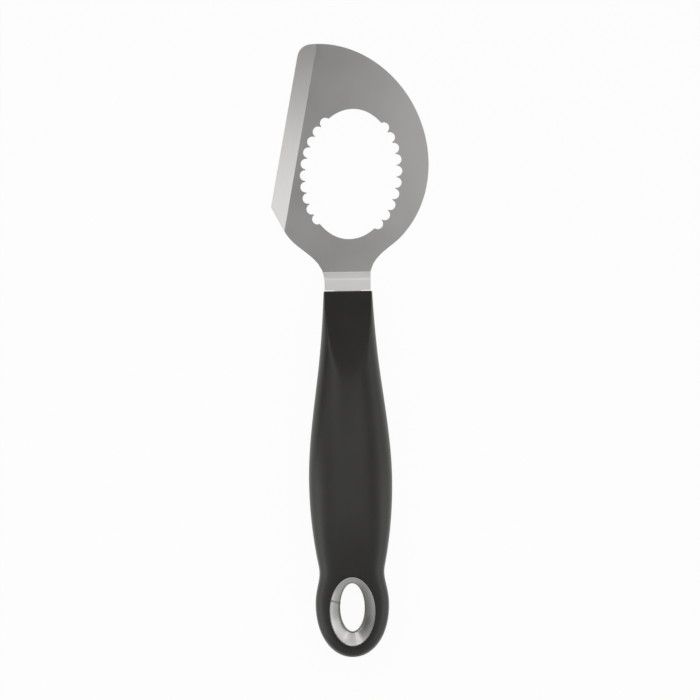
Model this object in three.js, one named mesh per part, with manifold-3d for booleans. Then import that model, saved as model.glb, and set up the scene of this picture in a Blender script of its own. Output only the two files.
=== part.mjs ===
// Avocado slicer: a stamped steel blade with a toothed stone hole, held by its tang between the two
// halves of a handle core, under a soft grip, with a two-part bright ring lining the hanging hole.
//
// Millimetres. X runs across the tool, Y along it towards the blade's tip, and Z up from the surface
// that it lies on. The origin is on the handle's axis, under the flat land between the stone hole and
// the neck bend.

import * as THREE from "three";
import { mergeVertices } from "three/addons/utils/BufferGeometryUtils.js";
import Module from "manifold-3d";

const wasm = await Module();
wasm.setup();

const degrees = THREE.MathUtils.degToRad;

// Driving dimensions

// Fits
const fitGap = 0.3; // clearance where one piece seats in another
const cutMargin = 2; // how far a cutter runs past what it cuts

// Blade sheet and its ground cutting edge
const sheetThickness = 1.5;
const cuttingEdgeThickness = 0.3; // what the grind leaves
const grindWidth = 6.4; // square to the cutting edge

// Blade outline, seen from above
const scoopCentre = new THREE.Vector2(-6.6, 37.5); // ellipse of the rounded scooping edge
const scoopHalfWidth = 36.4;
const scoopHalfLength = 41.5;
const scoopLean = degrees(22.4);
const scoopStart = degrees(-70); // on the ellipse, at the right shoulder
const cuttingEdgeLean = degrees(10.7); // from the handle's axis
const heelCorner = new THREE.Vector2(-28, 18); // lower end of the cutting edge
const heelAngle = degrees(28); // from the handle's axis
const heelRadius = 1.2;
const tipRadius = 5.2;
const neckWidth = 17;
const rightShoulder = { pull: 5.7, neckPull: 7, neckTop: -7.9 };
const leftShoulder = { pull: 9, neckPull: 11, neckTop: -11 };

// Stone hole: an oval with a row of round notches down each side, which leaves teeth between them
const stoneHoleCentre = new THREE.Vector2(1.95, 29.9);
const stoneHoleWidth = 34.4;
const stoneHoleLength = 48.2;
const stoneHoleLean = degrees(-4.6);
const notchesPerSide = 10;
const notchRadius = 1.8;
const notchInset = 0.25; // of the notch centres from the oval
const notchStep = degrees(10.75); // from notch to notch, round the oval
const notchTurn = degrees(-0.6); // of each row's middle from the oval's short axis

// Neck, which lifts the tang above the blade: steep at first, and then easier into the handle
const bendAngle = degrees(45);
const bendRadius = 0.8; // inside the lower bend
const neckRise = 2.6; // length of the steep slope
const neckAngle = degrees(25); // of the slope into the handle
const neckEntry = 0.8; // how far that slope runs on inside the handle
const neckRadius = 2; // inside the bends at both ends of that slope
const tangHeight = 5.05; // underside of the tang

// Tang
const tangWidth = 10;
const tangLength = 82; // inside the handle
const tangEndRadius = 3;
const tangHoleDiameter = 5;
const frontHoleSetback = 22; // of the first hole from the handle's front end
const backHoleSetback = 20; // of the second hole from the tang's end

// Handle, in stretches along its axis from its front end
const handleFront = -13.4;
const thumbLength = 30; // of the thumb facet
const bellyRise = 40; // facet to belly
const bellyFall = 28; // belly to where the waist draws in
const waistIn = 6.2;
const waistOut = 5.8;
const bulbRise = 5.8;
const endLength = 19.6; // of the rounded end

// Handle widths, and the slopes of the half width between them
const frontWidth = 18;
const thumbWidth = 23;
const bellyWidth = 30.8;
const waistShoulderWidth = 25.9;
const waistWidth = 24;
const bulbShoulderWidth = 25.9;
const bulbWidth = 27.2;
const frontFlare = 0.05;
const thumbFlare = 0.128;
const waistShoulderFlare = -0.175;
const bulbShoulderFlare = 0.21;

// Handle heights above the surface that the tool lies on
const frontTop = 14.6; // before the thumb facet is taken off
const thumbFrontTop = 10.2; // on the facet
const bellyTop = 19;
const waistTop = 14.8;
const bulbTop = 13.5;
const frontBottom = 0.9;
const bellyBottom = 0;
const waistBottom = 0.7;
const bulbBottom = 1;

// Squareness of the handle's section: 2 is an ellipse, and more is boxier
const frontSquareness = 2.6;
const bellySquareness = 2.3;
const bulbSquareness = 3;
const endSquareness = 5; // of the rounded end, seen from the side
const endFullness = 2.1; // the same, seen from above

// Grip and core
const gripWall = 2;
const coreWall = 2.2;
const coreRibThickness = 1.8;
const coreRibSpacing = 14;
const corePocketSetback = 7; // of the hollow's end from the waist
const pegDiameter = 4.4;
const pegHeight = 6; // above the joint between the core halves
const bossDiameter = 9;

// Ring that lines the hanging hole
const lipSetback = 2.85; // of the mouth's centre behind the widest place of the bulb
const lipWidth = 16.9;
const lipLength = 25.4;
const lipLand = 0.5; // flat edge round the mouth
const lipHeight = 1.5;
const dishDepth = 2.6; // from the mouth down to the straight throat
const throatSetback = 1.3; // of the through hole's centre
const throatWidth = 8.9;
const throatLength = 17.9;
const ringWall = 1.6;
const spigotWall = 0.6;
const spigotLength = 2;

// Fineness of the curves
const outlineSegments = 20;
const holeSegments = 96;
const notchSegments = 20;
const pegSegments = 28;
const ovalSegments = 56;
const sectionSegments = 28;
const bodyStep = 8; // longest stretch of handle between two sections
const endSteps = 6;
const mergeDistance = 1e-4;
const searchSteps = 40; // halvings in the search for a touching point

// Sizes that follow

const neckHalf = neckWidth / 2;
const bellyAt = thumbLength + bellyRise;
const waistShoulderAt = bellyAt + bellyFall;
const waistAt = waistShoulderAt + waistIn;
const bulbShoulderAt = waistAt + waistOut;
const bulbAt = bulbShoulderAt + bulbRise;
const handleLength = bulbAt + endLength;
const lipAt = bulbAt + lipSetback;
const throatAt = bulbAt + throatSetback;
const corePocketEnd = waistAt - corePocketSetback;
const tangHolePlaces = [frontHoleSetback, tangLength - backHoleSetback];
const tangMiddle = tangHeight + sheetThickness / 2; // the core halves meet at this height
const ringMiddle = (bulbTop + bulbBottom) / 2; // the ring halves meet at this height
const coreInset = gripWall + fitGap;
const alongHandle = (place) => handleFront - place;

// Solids and meshes

function solidOf(geometry) {
  const bare = geometry.clone();
  bare.deleteAttribute("normal");
  bare.deleteAttribute("uv");
  const merged = mergeVertices(bare, mergeDistance);
  const vertProperties = merged.attributes.position.array;
  const triVerts = Uint32Array.from(merged.index.array);
  return new wasm.Manifold(new wasm.Mesh({ numProp: 3, vertProperties, triVerts }));
}

function geometryOf(solid) {
  const mesh = solid.getMesh();
  const geometry = new THREE.BufferGeometry();
  geometry.setAttribute("position", new THREE.BufferAttribute(mesh.vertProperties, 3));
  geometry.setIndex(new THREE.BufferAttribute(mesh.triVerts, 1));
  geometry.computeVertexNormals();
  return geometry;
}

function pieceOf(name, solid, material) {
  const mesh = new THREE.Mesh(geometryOf(solid), material);
  mesh.name = name;
  return mesh;
}

// A box between two corners.
function boxBetween(low, high) {
  const size = new THREE.Vector3().subVectors(high, low);
  const middle = new THREE.Vector3().addVectors(low, high).multiplyScalar(0.5);
  return solidOf(new THREE.BoxGeometry(size.x, size.y, size.z).translate(...middle));
}

// An upright round bar.
function uprightBar(centre, diameter, bottom, top, segments = pegSegments) {
  const bar = new THREE.CylinderGeometry(diameter / 2, diameter / 2, top - bottom, segments);
  bar.rotateX(Math.PI / 2);
  return solidOf(bar.translate(centre.x, centre.y, (top + bottom) / 2));
}

// An upright prism of an outline.
function uprightPrism(shape, bottom, top, curveSegments) {
  const settings = { depth: top - bottom, bevelEnabled: false, curveSegments };
  return solidOf(new THREE.ExtrudeGeometry(shape, settings).translate(0, 0, bottom));
}

// A surface through loops of equally many points, each running anticlockwise seen from the loop after
// it. The ends are closed flat, or the last loop is joined back to the first.
function skinOf(loops, joined = false) {
  const count = loops[0].length;
  const points = loops.flat();
  const faces = [];
  const bands = joined ? loops.length : loops.length - 1;
  for (let i = 0; i < bands; i++) {
    const next = (i + 1) % loops.length;
    for (let j = 0; j < count; j++) {
      const k = (j + 1) % count;
      faces.push(i * count + j, i * count + k, next * count + k);
      faces.push(i * count + j, next * count + k, next * count + j);
    }
  }
  if (!joined) {
    const last = (loops.length - 1) * count;
    for (let j = 1; j < count - 1; j++) {
      faces.push(0, j + 1, j);
      faces.push(last, last + j, last + j + 1);
    }
  }
  const geometry = new THREE.BufferGeometry().setFromPoints(points);
  geometry.setIndex(faces);
  return solidOf(geometry);
}

// A level oval loop on the handle's axis.
function oval(place, width, length, height) {
  return Array.from({ length: ovalSegments }, (_, i) => {
    const turn = (2 * Math.PI * i) / ovalSegments;
    const x = (width / 2) * Math.cos(turn);
    const y = alongHandle(place) + (length / 2) * Math.sin(turn);
    return new THREE.Vector3(x, y, height);
  });
}

// A smooth curve through stations of [place, value, slope].
function through(stations, place) {
  const last = stations.length - 2;
  const found = stations.findIndex((station) => place < station[0]) - 1;
  const i = found < 0 ? (place < stations[0][0] ? 0 : last) : found;
  const [startPlace, startValue, startSlope] = stations[i];
  const [endPlace, endValue, endSlope] = stations[i + 1];
  const span = endPlace - startPlace;
  const t = Math.min(Math.max((place - startPlace) / span, 0), 1);
  const blend = t * t * (3 - 2 * t);
  const startPull = t * (1 - t) * (1 - t) * span * startSlope;
  const endPull = t * t * (t - 1) * span * endSlope;
  return startValue + (endValue - startValue) * blend + startPull + endPull;
}

// Blade

// A point on the scooping edge, and the way that the edge runs there.
function onScoop(angle) {
  const origin = new THREE.Vector2();
  const point = new THREE.Vector2(scoopHalfWidth * Math.cos(angle), scoopHalfLength * Math.sin(angle));
  const way = new THREE.Vector2(-scoopHalfWidth * Math.sin(angle), scoopHalfLength * Math.cos(angle));
  point.rotateAround(origin, scoopLean).add(scoopCentre);
  way.rotateAround(origin, scoopLean).normalize();
  return { point, way };
}

// The cutting edge's run from heel to tip, and the way across it into the blade.
const edgeWay = new THREE.Vector2(Math.sin(cuttingEdgeLean), Math.cos(cuttingEdgeLean));
const edgeInward = new THREE.Vector2(edgeWay.y, -edgeWay.x);
const heelWay = new THREE.Vector2(Math.sin(heelAngle), -Math.cos(heelAngle));

// The centre of the tip's rounding, if it leaves the scooping edge at an angle on the ellipse.
function tipCentre(angle) {
  const { point, way } = onScoop(angle);
  return point.addScaledVector(new THREE.Vector2(-way.y, way.x), tipRadius);
}

// The angle at which the tip's rounding touches both the scooping edge and the cutting edge.
function tipAngle() {
  let low = 0;
  let high = Math.PI;
  for (let i = 0; i < searchSteps; i++) {
    const angle = (low + high) / 2;
    const fromCuttingEdge = tipCentre(angle).sub(heelCorner).dot(edgeInward);
    if (fromCuttingEdge > tipRadius) low = angle;
    else high = angle;
  }
  return low;
}

// Rounds a corner of an outline that arrives along one way and leaves along another.
function roundCorner(shape, corner, arriving, leaving, radius) {
  const turn = Math.acos(arriving.dot(leaving));
  const reach = radius * Math.tan(turn / 2);
  const start = corner.clone().addScaledVector(arriving, -reach);
  const left = new THREE.Vector2(-arriving.y, arriving.x);
  const centre = start.clone().addScaledVector(left, radius);
  const angle = Math.atan2(start.y - centre.y, start.x - centre.x);
  shape.lineTo(start.x, start.y);
  shape.absarc(centre.x, centre.y, radius, angle, angle + turn, false);
}

// The whole sheet seen from above, anticlockwise from the tang's right shoulder.
function bladeOutline() {
  const shape = new THREE.Shape();
  const tangHalf = tangWidth / 2;
  const seat = handleFront + fitGap; // the neck's shoulders stop against the handle's front end
  const tangEnd = alongHandle(tangLength);
  const right = onScoop(scoopStart);
  const scoopEnd = tipAngle();
  const tipStart = onScoop(scoopEnd).way;
  const tipMiddle = tipCentre(scoopEnd);

  shape.moveTo(tangHalf, seat);
  shape.lineTo(neckHalf, seat);
  shape.lineTo(neckHalf, rightShoulder.neckTop);
  const rightPull = right.point.clone().addScaledVector(right.way, -rightShoulder.pull);
  const rightNeckPull = rightShoulder.neckTop + rightShoulder.neckPull;
  shape.bezierCurveTo(neckHalf, rightNeckPull, ...rightPull, ...right.point);
  shape.absellipse(...scoopCentre, scoopHalfWidth, scoopHalfLength, scoopStart, scoopEnd, false, scoopLean);

  // The tip's rounding turns from the run of the scooping edge to the run of the cutting edge.
  const outward = [tipStart.angle(), edgeWay.clone().negate().angle()].map((way) => way - Math.PI / 2);
  shape.absarc(...tipMiddle, tipRadius, ...outward, false);
  roundCorner(shape, heelCorner, edgeWay.clone().negate(), heelWay, heelRadius);

  // The heel is cut back across the whole grind, and then sweeps into the neck.
  const heelEnd = heelCorner.clone().addScaledVector(heelWay, grindWidth / heelWay.dot(edgeInward));
  const leftPull = heelEnd.clone().addScaledVector(heelWay, leftShoulder.pull);
  const leftNeckPull = leftShoulder.neckTop + leftShoulder.neckPull;
  shape.lineTo(...heelEnd);
  shape.bezierCurveTo(...leftPull, -neckHalf, leftNeckPull, -neckHalf, leftShoulder.neckTop);
  shape.lineTo(-neckHalf, seat);
  shape.lineTo(-tangHalf, seat);

  const down = new THREE.Vector2(0, -1);
  const across = new THREE.Vector2(1, 0);
  const up = new THREE.Vector2(0, 1);
  roundCorner(shape, new THREE.Vector2(-tangHalf, tangEnd), down, across, tangEndRadius);
  roundCorner(shape, new THREE.Vector2(tangHalf, tangEnd), across, up, tangEndRadius);
  shape.closePath();
  return shape;
}

// The sheet seen from the side: flat under the blade, bent up through the neck, and level in the tang.
// It is drawn with the run towards the handle as its first axis and the height as its second.
function sheetSection() {
  const tip = -(scoopCentre.y + scoopHalfLength + scoopHalfWidth);
  const tangEnd = -alongHandle(tangLength) + cutMargin;
  const outer = bendRadius + sheetThickness;
  const neckOuter = neckRadius + sheetThickness;
  const steepWay = new THREE.Vector2(Math.cos(bendAngle), Math.sin(bendAngle));
  const easyWay = new THREE.Vector2(Math.cos(neckAngle), Math.sin(neckAngle));
  const bendsRise = (outer + neckRadius) * (1 - steepWay.x);
  const bendsRun = (outer + neckRadius) * steepWay.y;
  const easyLength = (tangHeight - bendsRise - neckRise * steepWay.y) / easyWay.y;
  const end = -handleFront + neckEntry + neckRadius * easyWay.y;
  const start = end - bendsRun - neckRise * steepWay.x - easyLength * easyWay.x;
  const lowerCentre = new THREE.Vector2(start, outer);
  const lastCentre = new THREE.Vector2(end, tangHeight - neckRadius);
  const middleCentre = lastCentre.clone().addScaledVector(easyWay, -easyLength);
  const quarter = Math.PI / 2;
  const [steep, easy] = [bendAngle + quarter, neckAngle + quarter];

  const shape = new THREE.Shape();
  shape.moveTo(tip, 0);
  shape.lineTo(start, 0);
  shape.absarc(...lowerCentre, outer, -quarter, bendAngle - quarter, false);
  shape.absarc(...middleCentre, neckRadius, steep, easy, true);
  shape.absarc(...lastCentre, neckRadius, easy, quarter, true);
  shape.lineTo(tangEnd, tangHeight);
  shape.lineTo(tangEnd, tangHeight + sheetThickness);
  shape.absarc(...lastCentre, neckOuter, quarter, easy, false);
  shape.absarc(...middleCentre, neckOuter, easy, steep, false);
  shape.absarc(...lowerCentre, bendRadius, bendAngle - quarter, -quarter, true);
  shape.lineTo(tip, sheetThickness);
  shape.closePath();
  return shape;
}

// The bent sheet, wide enough for any outline to be cut from it.
function bentSheet() {
  const width = 4 * (scoopHalfWidth + scoopHalfLength);
  const settings = { depth: width, bevelEnabled: false, curveSegments: outlineSegments };
  const geometry = new THREE.ExtrudeGeometry(sheetSection(), settings).translate(0, 0, -width / 2);
  const towardsHandle = new THREE.Vector3(0, -1, 0);
  const up = new THREE.Vector3(0, 0, 1);
  const across = new THREE.Vector3().crossVectors(towardsHandle, up);
  return solidOf(geometry.applyMatrix4(new THREE.Matrix4().makeBasis(towardsHandle, up, across)));
}

// The waste that the grind takes off along the cutting edge.
function grindWaste() {
  const fall = (sheetThickness - cuttingEdgeThickness) / grindWidth;
  const above = sheetThickness + fall * cutMargin;
  const section = new THREE.Shape();
  section.moveTo(-cutMargin, cuttingEdgeThickness - fall * cutMargin);
  section.lineTo(grindWidth + cutMargin, above);
  section.lineTo(-cutMargin, above);
  section.closePath();

  const heelReach = grindWidth / Math.tan(heelAngle + cuttingEdgeLean) + cutMargin;
  const depth = 2 * scoopHalfLength + heelReach;
  const geometry = new THREE.ExtrudeGeometry(section, { depth, bevelEnabled: false });
  const inward = new THREE.Vector3(edgeInward.x, edgeInward.y, 0);
  const up = new THREE.Vector3(0, 0, 1);
  const towardsHeel = new THREE.Vector3(-edgeWay.x, -edgeWay.y, 0);
  const top = heelCorner.clone().addScaledVector(edgeWay, 2 * scoopHalfLength);
  const place = new THREE.Matrix4().makeBasis(inward, up, towardsHeel).setPosition(top.x, top.y, 0);
  return solidOf(geometry.applyMatrix4(place));
}

// The stone hole's oval and its notches.
function stoneHole() {
  const bottom = -cutMargin;
  const top = sheetThickness + cutMargin;
  const halfWidth = stoneHoleWidth / 2;
  const halfLength = stoneHoleLength / 2;
  const outline = new THREE.Shape();
  outline.absellipse(...stoneHoleCentre, halfWidth, halfLength, 0, 2 * Math.PI, false, stoneHoleLean);
  let hole = uprightPrism(outline, bottom, top, holeSegments / 2);
  for (const side of [0, Math.PI]) {
    for (let i = 0; i < notchesPerSide; i++) {
      const angle = side + notchTurn + (i - (notchesPerSide - 1) / 2) * notchStep;
      const centre = new THREE.Vector2(Math.cos(angle), Math.sin(angle));
      centre.multiply(new THREE.Vector2(halfWidth - notchInset, halfLength - notchInset));
      centre.rotateAround(new THREE.Vector2(), stoneHoleLean).add(stoneHoleCentre);
      hole = hole.add(uprightBar(centre, 2 * notchRadius, bottom, top, notchSegments));
    }
  }
  return hole;
}

function blade() {
  const tallest = tangHeight + sheetThickness + cutMargin;
  let solid = bentSheet().intersect(uprightPrism(bladeOutline(), -cutMargin, tallest, outlineSegments));
  solid = solid.subtract(grindWaste()).subtract(stoneHole());
  for (const place of tangHolePlaces) {
    const centre = new THREE.Vector2(0, alongHandle(place));
    solid = solid.subtract(uprightBar(centre, tangHoleDiameter, 0, tallest));
  }
  return solid;
}

// Handle

const halfWidths = [
  [0, frontWidth / 2, frontFlare],
  [thumbLength, thumbWidth / 2, thumbFlare],
  [bellyAt, bellyWidth / 2, 0],
  [waistShoulderAt, waistShoulderWidth / 2, waistShoulderFlare],
  [waistAt, waistWidth / 2, 0],
  [bulbShoulderAt, bulbShoulderWidth / 2, bulbShoulderFlare],
  [bulbAt, bulbWidth / 2, 0],
];
const waistFall = (bulbTop - bellyTop) / (bulbAt - bellyAt);
const tops = [
  [0, frontTop, (bellyTop - frontTop) / bellyAt],
  [bellyAt, bellyTop, 0],
  [waistAt, waistTop, waistFall],
  [bulbAt, bulbTop, 0],
];
const bottoms = [
  [0, frontBottom, (bellyBottom - frontBottom) / bellyAt],
  [bellyAt, bellyBottom, 0],
  [waistAt, waistBottom, (bulbBottom - bellyBottom) / (bulbAt - bellyAt)],
  [bulbAt, bulbBottom, 0],
];
const squarenesses = [
  [0, frontSquareness, 0],
  [bellyAt, bellySquareness, 0],
  [bulbAt, bulbSquareness, 0],
];

// One closed section of the handle. Shares below 1 close it in towards the rounded end.
function handleSection(place, along, inset, widthShare = 1, heightShare = 1) {
  const halfWidth = (through(halfWidths, place) - inset) * widthShare;
  const top = through(tops, place) - inset;
  const bottom = through(bottoms, place) + inset;
  const middle = (top + bottom) / 2;
  const halfHeight = ((top - bottom) / 2) * heightShare;
  const power = 2 / through(squarenesses, place);
  return Array.from({ length: sectionSegments }, (_, i) => {
    const turn = (2 * Math.PI * i) / sectionSegments;
    const [c, s] = [Math.cos(turn), Math.sin(turn)];
    const x = halfWidth * Math.sign(c) * Math.abs(c) ** power;
    const z = middle + halfHeight * Math.sign(s) * Math.abs(s) ** power;
    return new THREE.Vector3(x, alongHandle(along), z);
  });
}

// What lies above the thumb facet of a handle body that is smaller all round by an inset.
function aboveThumbFacet(inset) {
  const rise = through(tops, thumbLength) - thumbFrontTop;
  const slope = Math.atan2(rise, thumbLength);
  const block = new THREE.BoxGeometry(2 * bellyWidth, 4 * thumbLength, 2 * bellyTop);
  block.translate(0, 0, bellyTop - inset).rotateX(-slope);
  return solidOf(block.translate(0, handleFront, thumbFrontTop));
}

// The handle's outer form, smaller all round by an inset.
function handleBody(inset) {
  const loops = [handleSection(inset, inset, inset)];
  for (let i = 1; i < halfWidths.length; i++) {
    const start = Math.max(halfWidths[i - 1][0], inset);
    const span = halfWidths[i][0] - start;
    const steps = Math.max(Math.ceil(span / bodyStep), 2);
    for (let j = 1; j <= steps; j++) {
      const place = start + (span * j) / steps;
      loops.push(handleSection(place, place, inset));
    }
  }
  const endLength = handleLength - bulbAt - inset;
  for (let i = 1; i <= endSteps; i++) {
    const turn = (Math.PI / 2) * Math.min(i / endSteps, 1 - 1 / (4 * endSteps));
    const reach = Math.sin(turn);
    const shares = [endFullness, endSquareness].map((power) => (1 - reach ** power) ** (1 / power));
    loops.push(handleSection(bulbAt, bulbAt + endLength * reach, inset, ...shares));
  }
  return skinOf(loops).subtract(aboveThumbFacet(inset));
}

// Room for the tang in the grip and the core, deeper at the front, where the neck still slopes.
function tangRoom() {
  const half = tangWidth / 2 + fitGap;
  const front = handleFront + cutMargin;
  const low = new THREE.Vector3(-half, alongHandle(tangLength + fitGap), tangHeight - fitGap);
  const high = new THREE.Vector3(half, front, tangHeight + sheetThickness + fitGap);
  const drop = neckEntry * Math.tan(neckAngle) + neckRadius * (1 - Math.cos(neckAngle));
  const slopeEnd = neckEntry + neckRadius * Math.sin(neckAngle);
  const entryLow = new THREE.Vector3(-half, alongHandle(slopeEnd), low.z - drop);
  return boxBetween(low, high).add(boxBetween(entryLow, new THREE.Vector3(half, front, tangHeight)));
}

// Room for the ring in the grip and the core, from above the handle to below it.
function ringRoom() {
  const lip = [lipAt, lipWidth + 2 * fitGap, lipLength + 2 * fitGap];
  const wall = 2 * (ringWall + fitGap);
  const throat = [throatAt, throatWidth + wall, throatLength + wall];
  return skinOf([
    oval(...lip, bulbBottom - cutMargin),
    oval(...lip, bulbBottom + lipHeight + fitGap),
    oval(...throat, bulbBottom + lipHeight + dishDepth + fitGap),
    oval(...throat, bulbTop - lipHeight - dishDepth - fitGap),
    oval(...lip, bulbTop - lipHeight - fitGap),
    oval(...lip, bulbTop + cutMargin),
  ]);
}

function grip() {
  return handleBody(0).subtract(handleBody(gripWall)).subtract(tangRoom()).subtract(ringRoom());
}

// Everything above the joint between the core halves.
function aboveCoreJoint() {
  const low = new THREE.Vector3(-bellyWidth, alongHandle(handleLength), tangMiddle);
  return boxBetween(low, new THREE.Vector3(bellyWidth, handleFront, 2 * bellyTop));
}

function core() {
  return handleBody(coreInset).subtract(tangRoom()).subtract(ringRoom());
}

const pegCentres = tangHolePlaces.map((place) => new THREE.Vector2(0, alongHandle(place)));

// The hollow inside the front half, with its cross ribs and peg bosses left standing.
function corePocket() {
  const low = new THREE.Vector3(-bellyWidth, alongHandle(corePocketEnd), 0);
  const high = new THREE.Vector3(bellyWidth, handleFront, 2 * bellyTop);
  let pocket = handleBody(coreInset + coreWall).intersect(boxBetween(low, high));
  for (let place = coreRibSpacing; place < corePocketEnd; place += coreRibSpacing) {
    const back = new THREE.Vector3(-bellyWidth, alongHandle(place + coreRibThickness / 2), 0);
    const front = new THREE.Vector3(bellyWidth, alongHandle(place - coreRibThickness / 2), 2 * bellyTop);
    pocket = pocket.subtract(boxBetween(back, front));
  }
  for (const centre of pegCentres) {
    pocket = pocket.subtract(uprightBar(centre, bossDiameter, 0, 2 * bellyTop));
  }
  return pocket;
}

function coreFront() {
  let solid = core().intersect(aboveCoreJoint()).subtract(corePocket());
  for (const centre of pegCentres) {
    const bottom = tangMiddle - cutMargin;
    const top = tangMiddle + pegHeight + fitGap;
    solid = solid.subtract(uprightBar(centre, pegDiameter + 2 * fitGap, bottom, top));
  }
  return solid;
}

function coreBack() {
  let solid = core().subtract(aboveCoreJoint());
  for (const centre of pegCentres) {
    solid = solid.add(uprightBar(centre, pegDiameter, coreInset + coreWall / 2, tangMiddle + pegHeight));
  }
  return solid;
}

// Hanging ring: two dished halves, the front one plugged into the back one at the throat

const mouth = [lipAt, lipWidth - 2 * lipLand, lipLength - 2 * lipLand];
const throatGrown = (wall) => [throatAt, throatWidth + 2 * wall, throatLength + 2 * wall];

function ringFront() {
  return skinOf(
    [
      oval(...throatGrown(ringWall), ringMiddle),
      oval(...throatGrown(ringWall), bulbTop - lipHeight - dishDepth),
      oval(lipAt, lipWidth, lipLength, bulbTop - lipHeight),
      oval(lipAt, lipWidth, lipLength, bulbTop),
      oval(...mouth, bulbTop),
      oval(...throatGrown(0), bulbTop - dishDepth),
      oval(...throatGrown(0), ringMiddle - spigotLength),
      oval(...throatGrown(spigotWall), ringMiddle - spigotLength),
      oval(...throatGrown(spigotWall), ringMiddle),
    ],
    true,
  );
}

function ringBack() {
  const face = ringMiddle - fitGap;
  const socketFloor = ringMiddle - spigotLength - fitGap;
  return skinOf(
    [
      oval(lipAt, lipWidth, lipLength, bulbBottom),
      oval(lipAt, lipWidth, lipLength, bulbBottom + lipHeight),
      oval(...throatGrown(ringWall), bulbBottom + lipHeight + dishDepth),
      oval(...throatGrown(ringWall), face),
      oval(...throatGrown(spigotWall + fitGap), face),
      oval(...throatGrown(spigotWall + fitGap), socketFloor),
      oval(...throatGrown(0), socketFloor),
      oval(...throatGrown(0), bulbBottom + dishDepth),
      oval(...mouth, bulbBottom),
    ],
    true,
  );
}

// Materials and assembly

const steel = new THREE.MeshStandardMaterial({ color: 0x9c9a98, roughness: 0.35, metalness: 1 });
const softGrip = new THREE.MeshStandardMaterial({ color: 0x363534, roughness: 0.6, metalness: 0 });
const hardCore = new THREE.MeshStandardMaterial({ color: 0x2a2a2a, roughness: 0.5, metalness: 0 });
const brightRing = new THREE.MeshStandardMaterial({ color: 0xc4c4c2, roughness: 0.15, metalness: 1 });

const handle = new THREE.Group();
handle.add(pieceOf("core_front", coreFront(), hardCore));
handle.add(pieceOf("core_back", coreBack(), hardCore));
handle.add(pieceOf("grip", grip(), softGrip));

const hangingRing = new THREE.Group();
hangingRing.add(pieceOf("ring_front", ringFront(), brightRing));
hangingRing.add(pieceOf("ring_back", ringBack(), brightRing));

const slicer = new THREE.Group();
slicer.add(pieceOf("blade", blade(), steel));
slicer.add(handle, hangingRing);

export default slicer;
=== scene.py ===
import math

import bpy
import numpy as np
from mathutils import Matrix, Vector


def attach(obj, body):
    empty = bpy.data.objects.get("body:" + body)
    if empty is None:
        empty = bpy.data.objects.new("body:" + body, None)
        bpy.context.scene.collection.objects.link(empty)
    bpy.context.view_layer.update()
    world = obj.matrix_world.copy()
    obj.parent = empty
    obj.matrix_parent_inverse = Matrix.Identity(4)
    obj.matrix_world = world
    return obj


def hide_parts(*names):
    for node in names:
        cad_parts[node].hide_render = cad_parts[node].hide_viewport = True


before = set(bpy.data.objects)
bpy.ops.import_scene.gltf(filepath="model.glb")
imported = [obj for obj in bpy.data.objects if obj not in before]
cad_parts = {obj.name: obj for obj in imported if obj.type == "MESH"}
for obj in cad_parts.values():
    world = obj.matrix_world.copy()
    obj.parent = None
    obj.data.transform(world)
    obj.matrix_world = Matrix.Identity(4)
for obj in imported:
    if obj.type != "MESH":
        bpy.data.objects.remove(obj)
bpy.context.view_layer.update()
mm = 0.001  # shapes below are worked out in millimetres
wholeTurn = 2 * math.pi
quarterTurn = math.pi / 2
handleFront = -13.4  # y at which the grip begins
cutterClear = 1.0  # how far a cutter stands out of what it cuts
tiny = 1e-6  # keeps a divisor from zero
print("frame loaded:", ", ".join(sorted(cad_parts)))


# Mesh helpers

def newObject(name, data):
    made = bpy.data.objects.new(name, data)
    bpy.context.scene.collection.objects.link(made)
    return made


def paint(piece, material):
    piece.data.materials.clear()
    piece.data.materials.append(material)


# Smooth all over, except at edges sharper than the angle, which stay crisp.
def shade(piece, crispAngle):
    mesh = piece.data
    mesh.validate()
    mesh.polygons.foreach_set("use_smooth", np.ones(len(mesh.polygons), bool))
    mesh.set_sharp_from_angle(angle=math.radians(crispAngle))
    mesh.update()


# A mesh object at the origin from points in millimetres.
def newPiece(name, points, faces, crispAngle):
    mesh = bpy.data.meshes.new(name)
    mesh.from_pydata((np.reshape(points, (-1, 3)) * mm).tolist(), [], faces)
    piece = newObject(name, mesh)
    shade(piece, crispAngle)
    return piece


def quads(*corners):  # from four arrays of point numbers
    return np.stack(corners, -1).reshape(-1, 4)


# Quads of a grid of points, row by row; the columns close into a loop, and so do the rows if they wrap.
def gridFaces(rows, columns, wrapRows=False):
    i = np.arange(rows if wrapRows else rows - 1)[:, None]
    j = np.arange(columns)[None, :]
    below = (i + 1) % rows
    beside = (j + 1) % columns
    corners = [i * columns + j, i * columns + beside, below * columns + beside, below * columns + j]
    return quads(*np.broadcast_arrays(*corners))


# Faces of a skin of rows and columns that is closed at both ends on a single point.
def closedFaces(rows, columns):
    j = np.arange(columns)
    beside = (j + 1) % columns
    last = (rows - 1) * columns
    front, back = rows * columns, rows * columns + 1
    fans = np.column_stack([np.full(columns, front), beside, j]).tolist()
    fans += np.column_stack([np.full(columns, back), last + j, last + beside]).tolist()
    return gridFaces(rows, columns).tolist() + fans


def closedSolid(name, skin, front, back, crispAngle=30.0):
    points = np.concatenate([skin.reshape(-1, 3), [front, back]])
    return newPiece(name, points, closedFaces(*skin.shape[:2]), crispAngle)


# Takes the cutters out of a piece and keeps the result as its mesh.
def cutAway(piece, cutters, crispAngle):
    for cutter in cutters:
        cut = piece.modifiers.new("cut", "BOOLEAN")
        cut.operation = "DIFFERENCE"
        cut.solver = "EXACT"
        cut.object = cutter
    graph = bpy.context.evaluated_depsgraph_get()
    result = bpy.data.meshes.new_from_object(piece.evaluated_get(graph))
    piece.modifiers.clear()
    piece.data = result
    for cutter in cutters:
        bpy.data.objects.remove(cutter)
    shade(piece, crispAngle)


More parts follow.
